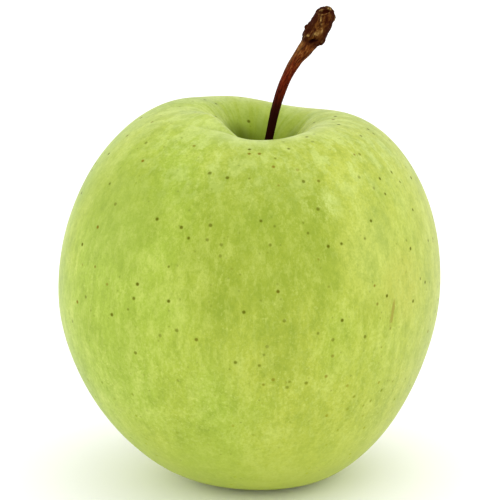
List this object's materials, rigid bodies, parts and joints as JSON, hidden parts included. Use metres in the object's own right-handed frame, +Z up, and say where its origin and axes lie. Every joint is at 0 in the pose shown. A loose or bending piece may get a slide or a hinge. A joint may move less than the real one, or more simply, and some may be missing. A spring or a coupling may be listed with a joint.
{
  "type": "whole apple",
  "caption": "Whole green apple standing on its base, with a bent woody stem that ends in a knobbly head and a dried calyx underneath.",
  "frame": {"origin": "under the middle of the apple's box, on the surface that it stands on", "axes": "+Z up along the core towards the stem, -Y the front that the picture shows, +X to the right, where the stem leans"},
  "size_m": [0.0798, 0.077, 0.1002],
  "materials": {
    "apple_skin": "waxy satin skin, yellow green, mottled and dotted with small brown lenticels",
    "stem_wood": "dry woody stalk, dark red brown, with tan bark on its head",
    "dried_calyx": "dried sepals, matte grey brown"
  },
  "bodies": {
    "root": {"fruit": "apple_skin", "stem": "stem_wood", "calyx": "dried_calyx"}
  },
  "joints": []
}
